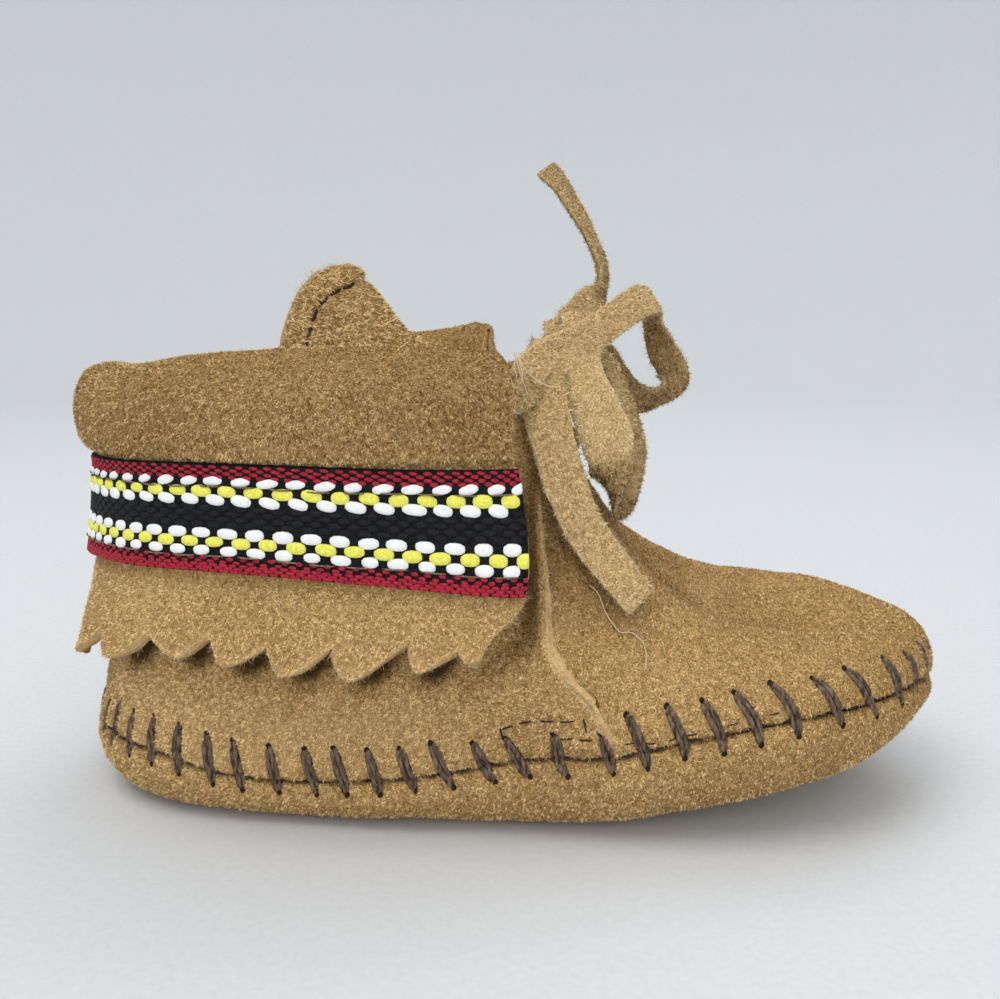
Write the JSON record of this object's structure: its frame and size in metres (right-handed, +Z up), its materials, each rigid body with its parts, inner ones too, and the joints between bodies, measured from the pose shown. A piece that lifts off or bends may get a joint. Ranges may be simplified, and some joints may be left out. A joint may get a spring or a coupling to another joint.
{
  "type": "baby moccasin",
  "caption": "Soft suede baby moccasin bootie with a turned-up stitched sole, folded pinked cuff with a woven band, pointed tongue and a thong tied in a bow at the front",
  "frame": {"origin": "middle of the bounding box of the shoe without its bow, at the height of the floor", "axes": "+X points to the toe, +Y to the side away from the viewer, +Z up; the leather is the same on both sides of the plane Y = 0"},
  "size_m": [0.1233, 0.0626, 0.0891],
  "materials": {
    "suede": "matt suede, nap outwards",
    "sole_suede": "matt suede",
    "insole_felt": "matt felt",
    "thong_suede": "matt suede",
    "woven_trim": "woven cotton"
  },
  "bodies": {
    "root": {"sole": "sole_suede", "upper": "suede", "insole": "insole_felt", "tongue": "suede", "cuff": "suede", "woven_band": "woven_trim", "thong_band": "thong_suede", "thong_knot": "thong_suede", "thong_end_near": "thong_suede", "thong_loop_near": "thong_suede", "thong_loop_far": "thong_suede", "thong_end_far": "thong_suede"}
  },
  "joints": []
}
